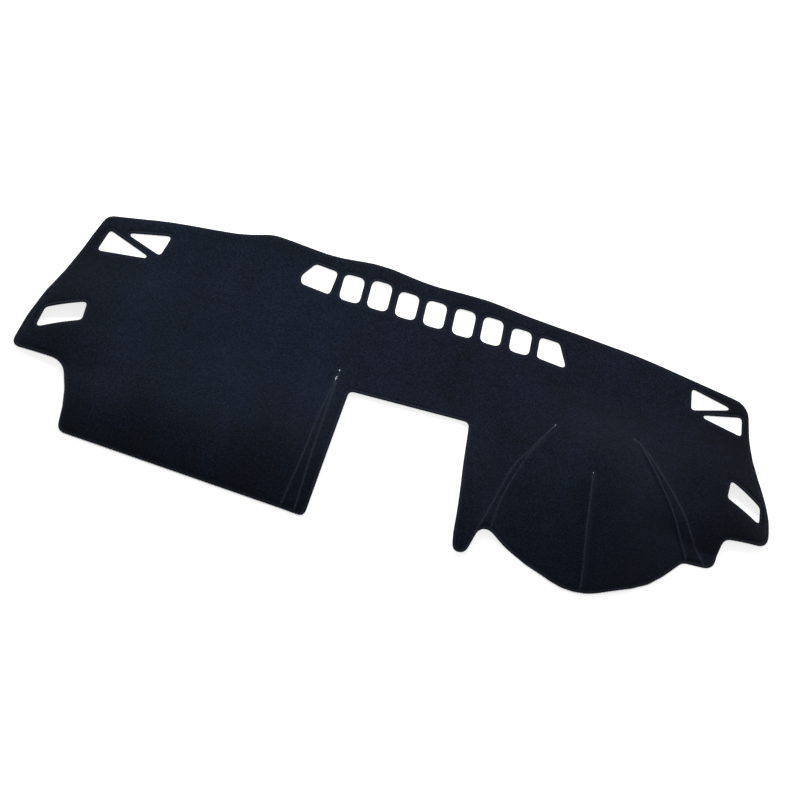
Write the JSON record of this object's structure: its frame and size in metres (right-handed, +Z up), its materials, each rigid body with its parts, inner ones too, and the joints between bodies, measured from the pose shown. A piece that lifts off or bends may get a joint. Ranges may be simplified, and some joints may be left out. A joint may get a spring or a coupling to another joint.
{
  "type": "dashboard cover mat",
  "caption": "Carpet cover for a car dashboard, with a darted hood over the instruments, a notch for the screen, demister slots and vent cut-outs",
  "frame": {"origin": "on the floor under the middle of the mat's bounding box, with the mat lying pile side up", "axes": "+X along the mat to the driver's end, +Y to the windscreen edge, +Z up"},
  "size_m": [1.4496, 0.5662, 0.0628],
  "materials": {
    "pile_carpet": "short dark navy pile, overlocked edges"
  },
  "bodies": {
    "root": {"carpet_panel": "pile_carpet"}
  },
  "joints": []
}
